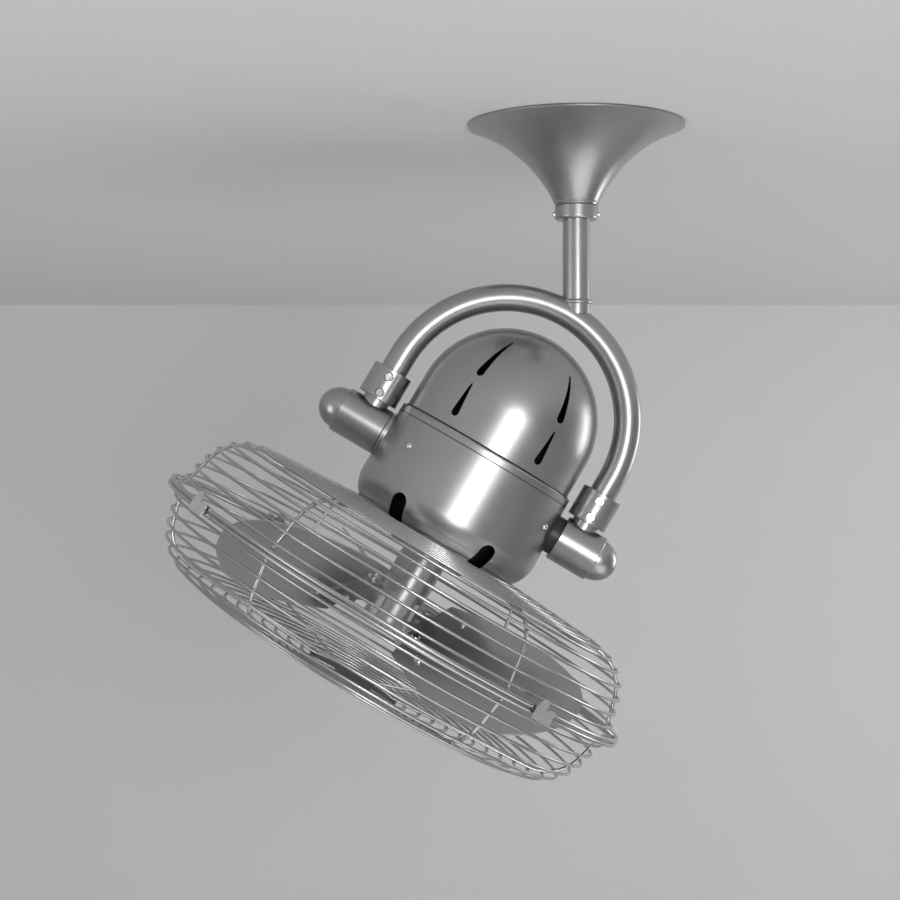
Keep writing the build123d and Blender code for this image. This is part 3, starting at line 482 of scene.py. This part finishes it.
upright = Matrix.Identity(4)
domeSide = skinRadius("upper_dome", 40, 12)
rimSide = skinRadius("lower_housing", 29, 3)
bandSide = skinRadius("lower_housing", trim["lineHeight"])
print("dome, rim and band radius", round(domeSide, 2), round(rimSide, 2), round(bandSide, 2))
# Dark ring painted as shadow in the seam between the dome and the rim
ringPiece("seamShadow", "head", domeSide + 0.3, trim["seamHeight"], trim["seamWire"],
          "blackPlasticAndShadeLines", headPlace)
ringPiece("rimEdge", "head", rimSide - 0.5, trim["edgeHeight"], trim["edgeWire"],
          "satinBody", headPlace)
# Dark ring painted as shade in the groove line of the band
ringPiece("bandShadeLine", "head", bandSide - 0.3, trim["lineHeight"], trim["lineWire"],
          "blackPlasticAndShadeLines", headPlace)
ringPiece("neckBead", bodyOf("canopy"), trim["beadRadius"], trim["beadHeight"], trim["beadWire"],
          "satinBody", upright)
ringPiece("rodWeld", bodyOf("yoke"), trim["weldRadius"], trim["weldHeight"], trim["weldWire"],
          "satinBody", upright)
# Dark rings painted as shade round the heads of the collar screws
for side in (-1, 1):
    for index, height in enumerate(trim["screwHeights"]):
        seat = Matrix.Translation(Vector((side * trim["legSide"], -trim["collarRadius"], height)) * mm)
        ringPiece(f"screwShadeRim{'LR'[side > 0]}{index + 1}", bodyOf("clamp_screws"), trim["screwShadeRim"], 0,
                  trim["screwShadeRimWire"], "blackPlasticAndShadeLines",
                  headPlace @ seat @ Matrix.Rotation(math.pi / 2, 4, "X"))
print("trim made")


# Blades: broad cambered paddles on the CAD's own pitch and brackets

blade = {
    "root": 30.0, "bend": 98.0, "tip": 172.0,
    "lead": 62.0, "trail": 65.0, "leadRoot": 42.0, "trailRoot": 46.0,
    "camber": 190.0, "rise": 4.0, "thick": 1.2, "pitch": 35.0, "first": 20.0, "count": 3,
    "rootSteps": 10, "tipSteps": 14, "across": 18,
}


def bladeHalves(reach):
    root, bend, tip = blade["root"], blade["bend"], blade["tip"]
    if reach > bend:
        fall = math.sqrt(max(1 - ((reach - bend) / (tip - bend)) ** 2, 0))
        return blade["trail"] * fall, blade["lead"] * fall
    ease = math.sin(math.pi / 2 * (reach - root) / (bend - root))
    trail = blade["trailRoot"] + (blade["trail"] - blade["trailRoot"]) * ease
    lead = blade["leadRoot"] + (blade["lead"] - blade["leadRoot"]) * ease
    return trail, lead


def bladeRows(bm, stations, radius):
    rows = []
    for reach in stations:
        trail, lead = bladeHalves(reach)
        row = []
        for step in range(blade["across"] + 1):
            side = -trail + (trail + lead) * step / blade["across"]
            height = blade["rise"] - blade["camber"] + math.sqrt(radius ** 2 - side ** 2)
            row.append(bm.verts.new((reach, side, height)))
        rows.append(row)
    for first, second in zip(rows, rows[1:]):
        for step in range(blade["across"]):
            bm.faces.new((first[step], first[step + 1], second[step + 1], second[step]))
    return rows


def bladePiece(number):
    bm = bmesh.new()
    root, bend, tip = blade["root"], blade["bend"], blade["tip"]
    stations = [root + (bend - root) * step / blade["rootSteps"] for step in range(blade["rootSteps"] + 1)]
    for step in range(1, blade["tipSteps"] + 1):
        stations.append(bend + (tip - bend) * math.sin(math.pi / 2 * step / blade["tipSteps"]))
    top = bladeRows(bm, stations, blade["camber"])
    under = bladeRows(bm, stations, blade["camber"] - blade["thick"])
    for index in range(len(stations) - 1):
        for step in (0, blade["across"]):
            bm.faces.new((top[index][step], top[index + 1][step], under[index + 1][step], under[index][step]))
    for step in range(blade["across"]):
        bm.faces.new((top[0][step], top[0][step + 1], under[0][step + 1], under[0][step]))
    bmesh.ops.remove_doubles(bm, verts=bm.verts, dist=mergeGap)
    azimuth = blade["first"] + (number - 1) * 360 / blade["count"]
    turn = Matrix.Rotation(math.radians(-azimuth), 4, "Z")
    turn = turn @ Matrix.Rotation(math.radians(blade["pitch"]), 4, "X")
    node = f"blade_{number}"
    finishPiece(bm, f"bladePaddle{number}", bodyOf(node), "bladeSheet", (node,), 40,
                headPlace @ Matrix.Translation((0, 0, hoopHeight)) @ turn)


for number in range(1, blade["count"] + 1):
    bladePiece(number)
print("blades made")


# Bright clip plates with a thumb tab and a small notch

clip = {
    "half": 9.8, "rise": 5.25, "tab": 3.75, "tabLift": 2.3, "notch": (3.2, 1.4, 2.4), "thick": 0.7, "sink": 0.1,
}


def prism(bm, outline, thick):
    near = [bm.verts.new((0, side, height)) for side, height in outline]
    far = [bm.verts.new((thick, side, height)) for side, height in outline]
    bm.faces.new(near)
    bm.faces.new(far[::-1])
    for index in range(len(outline)):
        after = (index + 1) % len(outline)
        bm.faces.new((near[index], far[index], far[after], near[after]))


def clipPlate(number):
    node = f"grille_clip_{number}"
    spots = headSpots(node)
    middle = sum(spots, Vector()) / len(spots)
    skin = max(math.hypot(spot.x, spot.y) for spot in spots if abs(spot.z - hoopHeight / mm) < clip["rise"])
    half, rise = clip["half"], clip["rise"]
    notchRight, notchFoot, notchDrop = clip["notch"]
    outline = [(-half, -rise), (half, -rise), (half, rise), (notchRight, rise), (notchFoot, rise - notchDrop)]
    outline += [(0, rise)] + arcPoints((-clip["tab"], rise + clip["tabLift"]), clip["tab"], 0, 180, 12)
    outline += [(-2 * clip["tab"], rise), (-half, rise)]
    bm = bmesh.new()
    prism(bm, outline, clip["thick"])
    seat = Matrix.Translation(Vector((skin - clip["sink"], 0, hoopHeight / mm)) * mm)
    turn = Matrix.Rotation(math.atan2(middle.y, middle.x), 4, "Z")
    finishPiece(bm, f"clipPlate{number}", bodyOf(node), "zincSheet", (), 30,
                headPlace @ turn @ seat)


for number in range(1, 5):
    clipPlate(number)
print("clip plates made")


# Stage, light and camera

stageLook = {"ceilingShade": 0.80, "wallShade": 0.74, "wallBack": 1.5, "half": 3.5, "floorDrop": 1.6,
             "floorShade": 0.7, "ceilingLift": 0.0008, "rough": 0.9, "shine": 0.1}
worldLook = {"shade": 0.8, "strength": 0.35}


def stagePlane(name, size, place, shade):
    bm = bmesh.new()
    bmesh.ops.create_grid(bm, x_segments=1, y_segments=1, size=size)
    bmesh.ops.transform(bm, matrix=place, verts=bm.verts)
    mesh = bpy.data.meshes.new(name)
    bm.to_mesh(mesh)
    bm.free()
    plane = bpy.data.objects.new(name, mesh)
    bpy.context.scene.collection.objects.link(plane)
    finish = Finish(name)
    finish.fix(Base_Color=(shade, shade, shade, 1), Roughness=stageLook["rough"],
               Specular_IOR_Level=stageLook["shine"])
    # From outside the room a plane is clear, so looks from behind and above reach the part
    outside = finish.make("ShaderNodeNewGeometry", output=6)
    clear = finish.make("ShaderNodeBsdfTransparent")
    solid = Val(finish.tree, finish.shader.outputs[0])
    mixed = finish.make("ShaderNodeMixShader", None, {0: outside, 1: solid, 2: clear})
    finish.tree.links.new(mixed.socket, finish.tree.nodes["Material Output"].inputs["Surface"])
    mesh.materials.append(finish.material)


stagePlane("ceilingPlane", stageLook["half"],
           Matrix.Translation((0, 0, stageLook["ceilingLift"])) @ Matrix.Rotation(math.pi, 4, "X"),
           stageLook["ceilingShade"])
stagePlane("backWall", stageLook["half"],
           Matrix.Translation((0, stageLook["wallBack"], 0)) @ Matrix.Rotation(math.pi / 2, 4, "X"),
           stageLook["wallShade"])
stagePlane("floorPlane", stageLook["half"], Matrix.Translation((0, 0, -stageLook["floorDrop"])),
           stageLook["floorShade"])

lampLook = {
    "key": {"place": (0.35, -2.3, -0.12), "size": (0.6, 1.1), "power": 27},
    "fill": {"place": (-1.9, -1.3, -0.5), "size": (0.9, 1.5), "power": 10},
    "under": {"place": (0.2, -0.6, -1.45), "size": (1.4, 1.4), "power": 6},
    "rim": {"place": (1.6, 0.9, -0.3), "size": (0.6, 1.2), "power": 9},
}
aim = Vector((-0.1, 0, -0.3))
for name, look in lampLook.items():
    lamp = bpy.data.lights.new(name, "AREA")
    lamp.shape = "RECTANGLE"
    lamp.size, lamp.size_y = look["size"]
    lamp.energy = look["power"]
    holder = bpy.data.objects.new(name, lamp)
    holder.location = look["place"]
    holder.rotation_euler = (aim - Vector(look["place"])).to_track_quat("-Z", "Y").to_euler()
    bpy.context.scene.collection.objects.link(holder)

world = bpy.data.worlds.new("studio")
world.use_nodes = True
background = world.node_tree.nodes["Background"]
background.inputs["Color"].default_value = (worldLook["shade"],) * 3 + (1,)
background.inputs["Strength"].default_value = worldLook["strength"]
bpy.context.scene.world = world
bpy.context.scene.view_settings.view_transform = "Standard"

cameraLook = {"place": (-0.1013, -1.5104, -0.2897), "pitch": 91.11, "lens": 75.54}
cameraData = bpy.data.cameras.new("camera")
cameraData.lens = cameraLook["lens"]
cameraData.sensor_width = 36
cameraData.clip_start = 0.05
camera = bpy.data.objects.new("camera", cameraData)
camera.location = cameraLook["place"]
camera.rotation_euler = (math.radians(cameraLook["pitch"]), 0, 0)
bpy.context.scene.collection.objects.link(camera)
bpy.context.scene.camera = camera
print("stage set")
